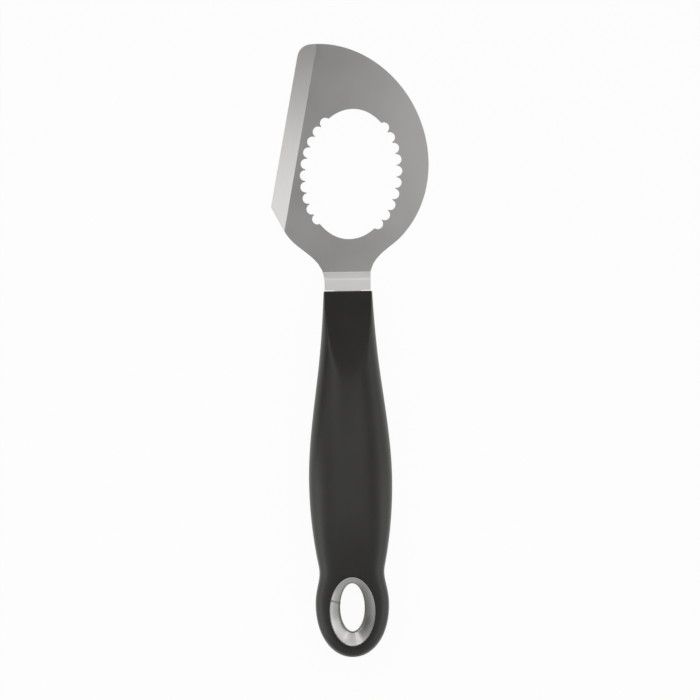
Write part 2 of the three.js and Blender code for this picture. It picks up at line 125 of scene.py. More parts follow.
# Paints a piece, sets it on its body and hides the frame's nodes that it stands for.
def handOver(piece, nodes, material):
    paint(piece, material)
    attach(piece, "root")
    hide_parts(*nodes)


# A smooth curve through stations of (place, value, slope): cubic between each pair of stations.
def through(stations, place):
    at, value, slope = np.array(stations, float).T
    place = np.clip(place, at[0], at[-1])
    i = np.clip(np.searchsorted(at, place, side="right") - 1, 0, len(at) - 2)
    span = at[i + 1] - at[i]
    t = (place - at[i]) / span
    blend = t * t * (3 - 2 * t)
    pulls = span * (t * (1 - t) ** 2 * slope[i] + t * t * (t - 1) * slope[i + 1])
    return value[i] + (value[i + 1] - value[i]) * blend + pulls


def unit(angle):  # the points at these angles on a circle of radius 1
    return np.stack([np.cos(angle), np.sin(angle)], -1)


def turned(points, angle):  # about the origin
    c, s = math.cos(angle), math.sin(angle)
    x, y = points[..., 0], points[..., 1]
    return np.stack([x * c - y * s, x * s + y * c], -1)


def arc(centre, radius, start, end, count):  # of a circle
    return np.asarray(centre) + unit(np.linspace(start, end, count)) * radius


# A cubic Bezier: the four points weighted by (1-t)^3, 3t(1-t)^2, 3t^2(1-t) and t^3.
def bezier(a, b, c, d, count):
    t = np.linspace(0, 1, count)[:, None]
    a, b, c, d = (np.asarray(p, float) for p in (a, b, c, d))
    return (1 - t) ** 3 * a + 3 * t * (1 - t) ** 2 * b + 3 * t * t * (1 - t) * c + t ** 3 * d


# Shader helpers

# A value in a material's nodes that takes part in Python arithmetic.
class Value:
    def __init__(self, finish, socket):
        self.finish = finish
        self.socket = socket

    def work(self, operation, *terms):
        return self.finish.node("ShaderNodeMath", {"operation": operation}, dict(enumerate(terms)))

    def __add__(self, other):
        return self.work("ADD", self, other)

    def __radd__(self, other):
        return self.work("ADD", other, self)

    def __sub__(self, other):
        return self.work("SUBTRACT", self, other)

    def __rsub__(self, other):
        return self.work("SUBTRACT", other, self)

    def __mul__(self, other):
        return self.work("MULTIPLY", self, other)

    def __rmul__(self, other):
        return self.work("MULTIPLY", other, self)

    def __truediv__(self, other):
        return self.work("DIVIDE", self, other)

    def __rtruediv__(self, other):
        return self.work("DIVIDE", other, self)

    def __neg__(self):
        return self.work("MULTIPLY", self, -1.0)

    def __abs__(self):
        return self.work("ABSOLUTE", self)

    def __lt__(self, other):
        return self.work("LESS_THAN", self, other)

    def __gt__(self, other):
        return self.work("GREATER_THAN", self, other)

    def atLeast(self, bottom):
        return self.work("MAXIMUM", self, bottom)

    def root(self):
        return self.work("SQRT", self)


# A material or a world under construction: node() makes any node from its type, settings and inputs.
class Finish:
    def __init__(self, name, owner=None):
        self.material = owner or bpy.data.materials.new(name)
        self.material.use_nodes = True
        self.tree = self.material.node_tree
        self.tree.nodes.clear()

    def node(self, kind, settings=None, inputs=None, output=0):
        made = self.tree.nodes.new(kind)
        for key, setting in (settings or {}).items():
            if key == "stops":
                self.stops(made.color_ramp, setting)
            else:
                setattr(made, key, setting)
        for key, given in (inputs or {}).items():
            socket = made.inputs[key]
            if isinstance(given, Value):
                self.tree.links.new(given.socket, socket)
            else:
                socket.default_value = given
        return Value(self, made.outputs[output]) if len(made.outputs) else None

    def stops(self, ramp, stops):
        while len(ramp.elements) < len(stops):
            ramp.elements.new(0.5)
        for element, (place, colour) in zip(ramp.elements, stops):
            element.position = place
            element.color = (*colour, 1.0)

    def axes(self, vector):
        return [self.node("ShaderNodeSeparateXYZ", {}, {0: vector}, axis) for axis in "XYZ"]

    def place(self):  # object coordinates in millimetres, as x, y, z
        return [axis / mm for axis in self.axes(self.node("ShaderNodeTexCoord", output="Object"))]

    def join(self, x, y, z):
        return self.node("ShaderNodeCombineXYZ", {}, {0: x, 1: y, 2: z})

    def noise(self, where, scale=1.0, detail=3.0, roughness=0.6):
        inputs = {"Vector": where, "Scale": scale, "Detail": detail, "Roughness": roughness}
        return self.node("ShaderNodeTexNoise", {}, inputs)

    def cloud(self, where, scale):  # a noise with less fine detail
        return self.noise(where, scale, detail=2.0, roughness=0.5)

    def ramp(self, amount, stops):
        return self.node("ShaderNodeValToRGB", {"stops": stops}, {0: amount})

    def tone(self, amount, look, low=0.3, high=0.7):  # from the look's deep colour to its pale one
        return self.ramp(amount, [(low, look["deep"]), (high, look["pale"])])

    def mix(self, amount, first, second):
        settings = {"data_type": "RGBA"}
        return self.node("ShaderNodeMix", settings, {0: amount, 6: first, 7: second}, 2)

    def between(self, amount, low, high):  # 0 below low, 1 above high, smooth in between
        settings = {"interpolation_type": "SMOOTHSTEP"}
        inputs = {"Value": amount, "From Min": low, "From Max": high}
        return self.node("ShaderNodeMapRange", settings, inputs)

    def bump(self, height, strength, distance):
        inputs = {"Height": height, "Strength": strength, "Distance": distance}
        return self.node("ShaderNodeBump", {}, inputs)

    def surface(self, inputs):
        shader = self.node("ShaderNodeBsdfPrincipled", {}, inputs)
        self.node("ShaderNodeOutputMaterial", {}, {"Surface": shader})
        return self.material


# Blade

bladeShape = {
    "thickness": 1.5,
    "edgeThickness": 0.3,  # left by the grind
    "grindWidth": 6.4,
    "scoopCentre": (-6.6, 37.5),
    "scoopHalf": (36.4, 41.5),
    "scoopLean": 22.4,
    "scoopStart": -70.0,
    "edgeLean": 10.7,
    "heelCorner": (-28.0, 18.0),
    "heelAngle": 28.0,
    "heelRadius": 1.2,
    "tipRadius": 5.2,
    "neckHalf": 8.5,
    "rightShoulder": (5.7, 7.0, -7.9),  # pull, neck pull, neck top
    "leftShoulder": (9.0, 11.0, -11.0),
    "holeCentre": (1.8, 29.9),
    "holeHalf": (16.9, 24.1),
    "holeLean": -4.6,
    "notches": 10,  # on each side
    "notchRadius": 1.95,
    "notchDepths": (2.0, 1.65),  # in the middle and at the ends of a row
    "notchSpacing": 4.28,  # along the hole's edge
    "notchLift": (0.1, 0.45),  # of the notches on the right and on the left
    "band": 2.6,  # from the oval to a row of points that passes the notches
    "bendAngle": 45.0,
    "bendRadius": 0.8,
    "neckRise": 2.6,  # length of the steep slope
    "neckAngle": 25.0,
    "neckEntry": 0.8,
    "neckRadius": 2.0,
    "neckBevel": 0.144,  # width of the rounding along the neck's sides
    "tangHeight": 5.05,
    "tangHalf": 5.0,
    "tangLength": 82.0,
    "tangRadius": 3.0,
    "tangHoles": (22.0, 62.0),  # back from the handle's front end
    "tangHole": 2.5,
    "handleGap": 0.3,
    "joinAt": -3.0,  # where the ring of the head meets the strip of the neck
    "edgeRounding": 0.12,
    "plainRow": 0.75,  # where the grind's row runs, from band to rim, past the ends of the grind
    "rowGap": 0.002,  # kept between that row and the rows beside it
    "crispAngle": 7.0,
    "points": {  # along each stretch
        "scoopSearch": 20001, "scoop": 900, "shoulder": 200, "tip": 60, "heel": 16,
        "holeSearch": 40001, "holeEnd": 60, "tooth": 4, "notch": 30,
        "bend": 13, "chord": 41, "edge": 4, "tangCorner": 9, "tangHole": 48,
    },
}


# The blade's outer edge from the neck's right side round to its left side: shoulder, scooping ellipse,
# tip arc, cutting edge, heel and shoulder, each sampled finely; also the heel and the way in from the edge.
def bladeOutline(b):
    count = b["points"]
    edge, heelAngle = math.radians(b["edgeLean"]), math.radians(b["heelAngle"])
    edgeWay = np.array([math.sin(edge), math.cos(edge)])
    inward = np.array([edgeWay[1], -edgeWay[0]])
    heelWay = np.array([math.sin(heelAngle), -math.cos(heelAngle)])
    heel = np.array(b["heelCorner"])
    lean, scoopStart = math.radians(b["scoopLean"]), math.radians(b["scoopStart"])

    def scoop(angle):
        half = np.array(b["scoopHalf"])
        point = turned(unit(angle) * half, lean) + b["scoopCentre"]
        way = turned(np.stack([-np.sin(angle), np.cos(angle)], -1) * half, lean)
        return point, way / np.linalg.norm(way, axis=-1, keepdims=True)

    # the tip's arc touches the ellipse where its centre is a radius away from the cutting edge
    angles = np.linspace(0, math.pi, count["scoopSearch"])
    point, way = scoop(angles)
    centres = point + np.stack([-way[:, 1], way[:, 0]], -1) * b["tipRadius"]
    last = np.argmax((centres - heel) @ inward < b["tipRadius"])
    tipStart = math.atan2(way[last, 1], way[last, 0]) - quarterTurn
    tipEnd = math.atan2(-edgeWay[1], -edgeWay[0]) - quarterTurn
    tipEnd += wholeTurn * (tipEnd < tipStart)

    start, startWay = scoop(np.array(scoopStart))
    pull, neckPull, neckTop = b["rightShoulder"]
    side = b["neckHalf"]
    seat = handleFront + b["handleGap"]
    neckSide = (side, neckTop), (side, neckTop + neckPull)
    right = bezier(*neckSide, start - startWay * pull, start, count["shoulder"])

    down = -edgeWay
    turn = math.acos(down @ heelWay)
    reach = b["heelRadius"] * math.tan(turn / 2)
    heelCentre = heel - down * reach + inward * b["heelRadius"]
    heelStart = math.atan2(-inward[1], -inward[0])
    heelEnd = heel + heelWay * b["grindWidth"] / (heelWay @ inward)
    pull, neckPull, neckTop = b["leftShoulder"]
    neckSide = (-side, neckTop + neckPull), (-side, neckTop)
    left = bezier(heelEnd, heelEnd + heelWay * pull, *neckSide, count["shoulder"])

    outline = np.concatenate([
        [(side, seat)],
        right,
        scoop(np.linspace(scoopStart, angles[last], count["scoop"]))[0][1:],
        arc(centres[last], b["tipRadius"], tipStart, tipEnd, count["tip"])[1:],
        arc(heelCentre, b["heelRadius"], heelStart, heelStart + turn, count["heel"]),
        left,
        [(-side, seat)],
    ])
    return outline, heel, inward


# The stone hole's edge, anticlockwise: runs of the oval between round notches, and for each of its points
# one straight out from the oval, on a band that passes the notches.
def stoneHoleEdge(b):
    count = b["points"]
    half = np.array(b["holeHalf"])
    lean = math.radians(b["holeLean"])
    radius = b["notchRadius"]
    fine = np.linspace(-quarterTurn, wholeTurn - quarterTurn, count["holeSearch"])
    oval = unit(fine) * half
    along = np.append(0, np.cumsum(np.linalg.norm(np.diff(oval, axis=0), axis=1)))
    rightLift, leftLift = b["notchLift"]
    deep, shallow = b["notchDepths"]
    rowHalf = (b["notches"] - 1) / 2
    points, angles = [], []
    before = fine[0]
    for side, shift in ((0.0, rightLift), (math.pi, -leftLift)):
        for i in range(b["notches"]):
            place = np.interp(side, fine, along) + shift + (i - rowHalf) * b["notchSpacing"]
            middle = np.interp(place, along, fine)
            depth = deep + (shallow - deep) * (i / rowHalf - 1) ** 2
            centre = unit(middle) * (half + depth - radius)
            inside = np.flatnonzero(np.linalg.norm(oval - centre, axis=1) < radius)
            first, last = inside[0], inside[-1]
            turns = [math.atan2(*(oval[k] - centre)[::-1]) for k in (first, last)]
            turns[1] += wholeTurn * (turns[1] < turns[0])
            run = np.linspace(before, fine[first], count["holeEnd" if i == 0 else "tooth"])[1:-1]
            points += [unit(run) * half, arc(centre, radius, *turns, count["notch"])]
            angles += [run, np.linspace(fine[first], fine[last], count["notch"])]
            before = fine[last]
    run = np.linspace(before, fine[-1], count["holeEnd"])[1:]
    edge = np.concatenate([*points, unit(run) * half])
    way = unit(np.concatenate([*angles, run]))
    outward = way / half
    band = way * half + outward * b["band"] / np.linalg.norm(outward, axis=1, keepdims=True)
    return turned(edge, lean) + b["holeCentre"], turned(band, lean) + b["holeCentre"]


# The run of the bent sheet behind the head, as y and z of its upper and lower skins: lower bend, steep
# slope, bend and easy slope up to the handle, and then the last bend of the tang inside it.
def neckRun(b):
    thick, inner, low = b["thickness"], b["bendRadius"], b["neckRadius"]
    steep, easy = math.radians(b["bendAngle"]), math.radians(b["neckAngle"])
    outer = inner + thick
    rise = b["tangHeight"] - (outer + low) * (1 - math.cos(steep)) - b["neckRise"] * math.sin(steep)
    slope = rise / math.tan(easy), rise
    end = -handleFront + b["neckEntry"] + low * math.sin(easy)
    start = end - (outer + low) * math.sin(steep) - b["neckRise"] * math.cos(steep) - slope[0]
    last = np.array([end, b["tangHeight"] - low])
    seat = -handleFront - b["handleGap"]
    bends = (0, steep), (steep, easy), (easy, 0)
    lead, over, level = (np.linspace(*angles, b["points"]["bend"]) for angles in bends)
    skins = []
    for below, above in ((inner, low + thick), (outer, low)):
        first = np.column_stack([start + below * np.sin(lead), outer - below * np.cos(lead)])
        second = last - slope + above * np.column_stack([-np.sin(over), np.cos(over)])
        third = last + above * np.column_stack([-np.sin(level), np.cos(level)])
        share = (seat - second[-1, 0]) / (third[0, 0] - second[-1, 0])
        stop = second[-1] + (third[0] - second[-1]) * share
        skins.append([run * (-1, 1) for run in (np.vstack([first, second, stop]), third)])
    return skins


def sideAt(side, y):  # x of the neck's left or right side
    return np.interp(y, side[:, 1], side[:, 0])


# The head's columns, by bearing from the hole's centre: a point on the hole's edge, one on the band and one
# on the rim, which is the outline closed by a chord where the neck takes over. The columns that end on the
# chord are the neck's strip, each at its share of the way across; two of them are the tang's sides.
def headColumns(b, outline, left, right):
    hole, band = stoneHoleEdge(b)
    join, count = b["joinAt"], b["points"]["chord"]
    leftX, rightX = sideAt(left, join), sideAt(right, join)
    chord = np.column_stack([np.linspace(leftX, rightX, count), np.full(count, join)])
    around = np.concatenate([outline[outline[:, 1] > join], chord])

    def bearing(points):
        return np.arctan2(*(points - b["holeCentre"]).T[::-1]) % wholeTurn

    order = np.argsort(bearing(around))
    around = around[order]
    start = np.argmin(bearing(band))
    hole, band = np.roll(hole, -start, axis=0), np.roll(band, -start, axis=0)
    turn = bearing(band)
    rim = np.stack([np.interp(turn, bearing(around), axis, period=wholeTurn) for axis in around.T], -1)
    first, last = (np.argmin(abs(turn - end)) for end in bearing(chord[[0, -1]]))
    strip = np.arange(first, last + 1)

    share = (rim[strip, 0] - leftX) / (rightX - leftX)
    tangShare = 0.5 - b["tangHalf"] / (2 * b["neckHalf"])
    tangEnds = [np.argmin(abs(share - s)) for s in (tangShare, 1 - tangShare)]
    bevel = b["neckBevel"] / (2 * b["neckHalf"])
    share[[0, 1, -2, -1]] = 0, bevel, 1 - bevel, 1
    share[tangEnds] = tangShare, 1 - tangShare
    rim[strip] = np.column_stack([leftX + (rightX - leftX) * share, np.full(len(strip), join)])
    return hole, band, rim, strip, share, tangEnds


# The head's upper and lower skins, in rows from the hole over the band to the rim: quarter rounds at both
# ends, and between band and rim a row on the upper line of the grind, from which the upper skin falls
# evenly to the cutting edge.
def headSkins(b, hole, band, rim, strip, fromEdge):
    thick, radius, grind, gap = b["thickness"], b["edgeRounding"], b["grindWidth"], b["rowGap"]
    quarter = np.linspace(0, quarterTurn, b["points"]["edge"])
    inset = radius * (1 - np.cos(quarter))[:, None]
    drop = np.repeat(radius * (1 - np.sin(quarter))[:, None], len(hole), 1)
    fromHole = inset / np.linalg.norm(band - hole, axis=1)
    fromRim = inset / np.linalg.norm(rim - band, axis=1)
    crossing = (fromEdge(band) - grind) / np.maximum(fromEdge(band) - fromEdge(rim), tiny)
    onGrind = np.where(fromEdge(rim) < grind, crossing, b["plainRow"])
    onGrind = np.clip(onGrind, gap, 1 - gap - fromRim[-1])
    outer = np.vstack([0 * onGrind, onGrind, 1 - fromRim[::-1]])
    atRim = drop[::-1].copy()
    atRim[:, strip[1:-1]] = 0  # no edge where the neck joins on
    drops = np.vstack([drop, 0 * outer[:2], atRim])
    inner = hole + (band - hole) * fromHole[:, :, None]
    flat = np.concatenate([inner, band + (rim - band) * outer[:, :, None]])
    fall = (thick - b["edgeThickness"]) / grind
    top = np.minimum(thick, b["edgeThickness"] + fall * np.maximum(fromEdge(flat), 0))
    return np.dstack([flat, top - drops]), np.dstack([flat, drops])[::-1]


# The upper and lower skins of the neck, in rows across the run of the bent sheet with their outer columns
# rounded over, and those of the tang behind its middle columns, with quarter rounds at its end.
def neckSkins(b, left, right, share, tangEnds):
    corner = np.linspace(0, quarterTurn, b["points"]["tangCorner"])
    tangY = handleFront - b["tangLength"] + b["tangRadius"] * (1 - np.sin(corner))
    tangHalf = b["tangHalf"] - b["tangRadius"] * (1 - np.cos(corner))
    first, last = tangEnds
    across = (share[first:last + 1] - 0.5) / (0.5 - share[first])
    runs = neckRun(b)
    normal = runs[0][0] - runs[1][0]
    normal *= b["edgeRounding"] / np.linalg.norm(normal, axis=1, keepdims=True)
    atSide = np.isin(np.arange(len(share)), (0, len(share) - 1))
    necks, tangs = [], []
    for (run, bend), way in zip(runs, (-1, 1)):
        leftX, rightX = sideAt(left, run[:, :1]), sideAt(right, run[:, :1])
        run = run[:, None] + way * normal[:, None] * atSide[:, None]
        necks.append(np.dstack([leftX + (rightX - leftX) * share, run]))
        end = np.column_stack([tangY, np.full(len(tangY), bend[-1, 1])])
        y, z = np.vstack([bend, end]).T[:, :, None]
        half = np.concatenate([np.full(len(bend), b["tangHalf"]), tangHalf])[:, None]
        tangs.append(np.dstack(np.broadcast_arrays(half * across, y, z)))
    return necks, tangs


# Faces of both skins and both sides of a strip of sheet, from the point numbers of its skins.
def stripFaces(top, bottom):
    return [
        quads(top[:-1, :-1], top[:-1, 1:], top[1:, 1:], top[1:, :-1]),
        quads(bottom[:-1, 1:], bottom[:-1, :-1], bottom[1:, :-1], bottom[1:, 1:]),
        quads(top[:-1, 0], top[1:, 0], bottom[1:, 0], bottom[:-1, 0]),
        quads(top[1:, -1], top[:-1, -1], bottom[:-1, -1], bottom[1:, -1]),
    ]


def endFaces(top, bottom):  # of such a strip's last row
    return quads(top[-1, :-1], top[-1, 1:], bottom[-1, 1:], bottom[-1, :-1])


# Cylinders that cut the two lock holes into the tang.
def lockCutters(b):
    heights = b["tangHeight"] - cutterClear, b["tangHeight"] + b["thickness"] + cutterClear
    count = b["points"]["tangHole"]
    made = []
    for place in b["tangHoles"]:
        ring = arc((0.0, handleFront - place), b["tangHole"], 0, wholeTurn, count + 1)[:-1]
        skin = np.stack([np.column_stack([ring, np.full(count, height)]) for height in heights])
        made.append(closedSolid("lock", skin, *skin.mean(1)))
    return made


# One sheet: the head's skins meet at the hole and at the rim, except where the neck's strip carries on from
# the rim, and the tang's strip carries on from the middle of the neck's last row.
def makeBlade(b):
    outline, heel, inward = bladeOutline(b)
    sideCount = b["points"]["shoulder"] + 1
    right, left = outline[:sideCount], outline[::-1][:sideCount]  # neck and shoulder, from the handle up
    hole, band, rim, strip, share, tangEnds = headColumns(b, outline, left, right)
    head = headSkins(b, hole, band, rim, strip, lambda points: (points - heel) @ inward)
    necks, tangs = neckSkins(b, left, right, share, tangEnds)
    parts = [*head, *necks, *tangs]
    points = np.concatenate([part.reshape(-1, 3) for part in parts])
    ends = np.cumsum([part[..., 0].size for part in parts])
    numbers = np.split(np.arange(len(points)), ends[:-1])
    upper, lower, *strips = (run.reshape(part.shape[:2]) for run, part in zip(numbers, parts))
    neck = [np.vstack([upper[-1, strip], strips[0]]), np.vstack([lower[0, strip], strips[1]])]
    middle = slice(tangEnds[0], tangEnds[1] + 1)
    tang = [np.vstack([neck[k][-1, middle], strips[2 + k]]) for k in (0, 1)]

    rows, columns = upper.shape
    headFaces = gridFaces(2 * rows, columns, wrapRows=True)
    wall, column = np.divmod(np.arange(len(headFaces)), columns)
    joined = (wall == rows - 1) & (column >= strip[0]) & (column < strip[-1])
    shoulders = np.delete(endFaces(*neck), np.arange(*tangEnds), axis=0)
    tangFaces = [*stripFaces(*tang), endFaces(*tang)]
    faces = np.concatenate([headFaces[~joined], *stripFaces(*neck), shoulders, *tangFaces])
    piece = newPiece("blade_sheet", points, faces[:, ::-1].tolist(), b["crispAngle"])
    cutAway(piece, lockCutters(b), b["crispAngle"])
    return piece


blade = makeBlade(bladeShape)
print("blade made:", len(blade.data.polygons), "faces")


# Ring

ringShape = {
    "lipAt": 118.5,  # back from the handle's front end
    "lipHalf": (8.45, 12.85),
    "throatAt": 116.95,
    "throatHalf": (4.45, 8.8),
    "top": 13.5,
    "bottom": 1.0,
    "land": 0.3,
    "lipRounding": 0.18,
    "lipHeight": 1.5,
    "wall": 1.6,
    "spigotWall": 0.6,
    "spigotLength": 2.0,
    "gap": 0.3,
    "dish": 2.6,
    "dishLean": 0.8,  # how much deeper the dish is at the handle's end
    "steepening": 0.2,
    "steepeningPower": 2.5,
    "throatRounding": 0.8,
    "roundingFrom": 0.85,  # of the way down the dish
    "crispAngle": 28.0,
    "points": {"around": 192, "corner": 7, "dish": 17, "bend": 13},
}


# Ovals between the throat's (share 0) and the lip's (share 1), grown by extra, one for each height; lean
# raises an oval towards the blade and lowers it towards the handle's end.
def ovals(r, share, extra, height, lean=(0.0,)):
    share, extra, height, lean = (np.asarray(v, float)[:, None] for v in (share, extra, height, lean))
    turn = np.linspace(0, wholeTurn, r["points"]["around"], endpoint=False)
    half = [r["throatHalf"][k] * (1 - share) + r["lipHalf"][k] * share + extra for k in (0, 1)]
    middle = handleFront - (r["throatAt"] * (1 - share) + r["lipAt"] * share)
    x = half[0] * np.cos(turn)
    return np.stack([x, middle + half[1] * np.sin(turn), height + lean * np.sin(turn) + 0 * x], -1)


# Half of a ring's inside, from its outer edge: rounded lip, dish that falls evenly and a little more with
# a power of the way in, and a Bezier round into the throat. Each point is a share, an extra, a fall
# below the lip's top and a lean.
def dishRun(r):
    lip, land, steep, power = r["lipRounding"], r["land"], r["steepening"], r["steepeningPower"]
    count = r["points"]
    corner = np.linspace(0, quarterTurn, count["corner"])
    none = 0 * corner
    edge = np.column_stack([none + 1, lip * (np.cos(corner) - 1), lip * (1 - np.sin(corner)), none])
    way = np.linspace(0, r["roundingFrom"], count["dish"])
    fall = way * (1 - steep) + steep * way ** power
    dish = np.column_stack([1 - way, -land * (1 - way), r["dish"] * fall, r["dishLean"] * fall])
    last = dish[-1]
    slope = (1 - steep) + power * steep * way[-1] ** (power - 1)
    inner = fall[-1] + slope * (1 - way[-1])
    inner = np.array((0, 0, r["dish"] * inner, r["dishLean"] * inner))
    foot = inner + (0, 0, r["throatRounding"], 0)
    bend = bezier(last, (last + 2 * inner) / 3, (foot + 2 * inner) / 3, foot, count["bend"])
    return np.concatenate([edge, dish, bend[1:]])


# Two closed profiles carried round the ovals; each point is a share, an extra, a height and a lean.
def makeRings(r):
    middle = (r["top"] + r["bottom"]) / 2
    wall, spigot, gap = r["wall"], r["spigotWall"], r["gap"]
    run = dishRun(r)
    under = r["lipHeight"] + r["dish"]
    end = middle - r["spigotLength"]
    # over the front's lip, down its dish and back up outside its spigot
    front = [(0, wall, middle, 0), (0, wall, r["top"] - under, 0), (1, 0, r["top"] - r["lipHeight"], 0)]
    front += [*(run * (1, 1, -1, 1) + (0, 0, r["top"], 0))]
    front += [(0, 0, end, 0), (0, spigot, end, 0), (0, spigot, middle, 0)]
    # up the back's outside, round its socket and down its dish
    face, end = middle - gap, end - gap
    back = [(1, 0, r["bottom"] + r["lipHeight"], 0), (0, wall, r["bottom"] + under, 0), (0, wall, face, 0)]
    back += [(0, spigot + gap, face, 0), (0, spigot + gap, end, 0), (0, 0, end, 0)]
    back += [*(run[::-1] * (1, 1, 1, -1) + (0, 0, r["bottom"], 0))]
    made = []
    for name, profile in (("hanging_ring_front", front), ("hanging_ring_back", back)):
        skin = ovals(r, *np.array(profile, float).T)
        faces = gridFaces(*skin.shape[:2], wrapRows=True)
        made.append(newPiece(name, skin, faces.tolist(), r["crispAngle"]))
    return made


# Grip

gripShape = {
    "halfWidths": [  # at places back from the handle's front end, with slopes
        (0, 9.0, 0.05), (30, 11.5, 0.128), (70, 15.4, 0), (98, 12.95, -0.175),
        (104.2, 12.0, 0), (110, 12.95, 0.21), (115.8, 13.6, 0),
    ],
    "tops": [(0, 14.6, 0.0629), (70, 19.0, 0), (104.2, 14.8, -0.12), (115.8, 13.5, 0)],
    "bottoms": [(0, 0.9, -0.0129), (70, 0.0, 0), (104.2, 0.7, 0.0218), (115.8, 1.0, 0)],
    "squareness": [(0, 2.6, 0), (70, 2.3, 0), (115.8, 3.0, 0)],
    "bulbAt": 115.8,
    "endLength": 19.6,
    "endSquareness": 5.0,
    "endFullness": 2.1,
    "thumbLength": 30.0,
    "thumbFrontTop": 10.2,
    "facetRounding": 0.5,
    "frontRounding": 0.45,
    "frontRings": (0.1, 0.95),  # shares of the front face, from the innermost row to the outermost
    "wall": 2.0,
    "ringGap": 0.12,
    "slotHalf": 5.3,
    "slot": (4.2, 6.85),  # heights of the tang's slot
    "crispAngle": 30.0,
    "points": {"skin": (230, 200), "cavity": (90, 96), "front": 6, "corner": 7, "end": 41},
}


# The smaller of two heights, with the crease between them rounded over about the given width.
def softMin(a, b, width):
    share = np.clip(0.5 + 0.5 * (b - a) / width, 0, 1)
    return b * (1 - share) + a * share - width * share * (1 - share)


# The handle's skin: at each place along it a superellipse |x/w|^n + |z/h|^n = 1, closed in the same way
# at the end, and cut by the sloping plane of the thumb facet. Rows run along, columns round.
def gripSkin(g, inset, along, columns):
    rounding, count = g["frontRounding"], g["points"]
    front = np.linspace(*g["frontRings"], count["front"])
    corner = np.linspace(0, quarterTurn, count["corner"])
    body = np.linspace(rounding, g["bulbAt"] - inset, along)[1:]
    end = np.linspace(0, quarterTurn, count["end"])[1:-1]
    depth = np.concatenate([0 * front, rounding * (1 - np.cos(corner)), body, g["bulbAt"] + 0 * end])
    tuck = np.concatenate([rounding + 0 * front, rounding * (1 - np.sin(corner)), 0 * body, 0 * end])
    shrink = np.append(front, np.ones(len(depth) - len(front)))
    reach = np.append(np.zeros(len(depth) - len(end)), np.sin(end))
    place = depth + inset * (depth < g["bulbAt"])
    run = place + reach * (g["endLength"] - inset)

    closing = lambda power: (1 - reach ** power) ** (1 / power)
    half = (through(g["halfWidths"], place) - inset - tuck) * closing(g["endFullness"])
    top = through(g["tops"], place) - inset - tuck
    bottom = through(g["bottoms"], place) + inset + tuck
    height = (top - bottom) / 2 * closing(g["endSquareness"])
    middle = (top + bottom) / 2
    n = 2 / through(g["squareness"], place)
    turn = np.linspace(0, wholeTurn, columns, endpoint=False)
    c, s = np.cos(turn), np.sin(turn)
    x = half[:, None] * np.sign(c) * np.abs(c) ** n[:, None]
    z = middle[:, None] + height[:, None] * np.sign(s) * np.abs(s) ** n[:, None]

    rise = (through(g["tops"], np.array(g["thumbLength"])) - g["thumbFrontTop"]) / g["thumbLength"]
    facet = g["thumbFrontTop"] + rise * run - inset * math.hypot(1, rise) - tuck
    z = softMin(z, facet[:, None], g["facetRounding"])
    centre = (z.max(1) + z.min(1)) / 2
    x *= shrink[:, None]
    z = centre[:, None] + (z - centre[:, None]) * shrink[:, None]
    y = np.repeat((handleFront - run)[:, None], columns, 1)
    skin = np.stack([x, y, z], -1)
    tip = (0.0, handleFront - g["bulbAt"] - g["endLength"] + inset, middle[-1])
    return skin, (0.0, y[0, 0], centre[0]), tip


# The grip is its skin less the cavity for the core, the ring's seat and the tang's slot.
def makeGrip(g, r):
    count = g["points"]
    piece = closedSolid("soft_grip", *gripSkin(g, 0.0, *count["skin"]), g["crispAngle"])
    cavity = closedSolid("cavity", *gripSkin(g, g["wall"], *count["cavity"]))
    falls = np.array([-2 * cutterClear, r["lipHeight"], r["lipHeight"] + r["dish"]])
    heights = np.concatenate([r["bottom"] + falls, r["top"] - falls[::-1]])
    atLip = np.array([1, 1, 0, 0, 1, 1])
    seat = ovals(r, atLip, g["ringGap"] + r["wall"] * (1 - atLip), heights)
    centres = [(0.0, handleFront - r["lipAt"], height) for height in heights[[0, -1]]]
    seat = closedSolid("seat", seat, *centres)
    low, high = g["slot"]
    side = g["slotHalf"]
    outside, inside = handleFront + cutterClear, handleFront - g["wall"] - cutterClear
    box = np.array([
        [(-side, y, low), (side, y, low), (side, y, high), (-side, y, high)] for y in (outside, inside)
    ])
    slot = closedSolid("slot", box, *box.mean(1))
    cutAway(piece, [cavity, seat, slot], g["crispAngle"])
    return piece


grip = makeGrip(gripShape, ringShape)
print("grip made:", len(grip.data.polygons), "faces")
ringFront, ringBack = makeRings(ringShape)
print("ring made:", len(ringFront.data.polygons) + len(ringBack.data.polygons), "faces")


# Finishes

steelLook = {
    "pale": (0.72, 0.711, 0.698),
    "deep": (0.66, 0.651, 0.639),
    "cloudPerMm": 0.06,
    "cloudShare": 0.8,  # of the tone; the lines have the rest
    "grainPerMm": 5.0,  # across the lines
    "rolledPerMm": 0.12,  # along the lines of the sheet
    "groundPerMm": 0.25,  # along the lines of the grind
    "grindSoft": 0.05,  # half width of the change to the grind
    "grindFrom": 5.0,  # no grind below this y
    "roughness": 0.3,
    "lineRoughness": 0.04,  # what the lines add from their faintest to their strongest
    "cloudRoughness": 0.06,
    "bump": (0.01, 0.00001),  # strength, and depth in metres
}


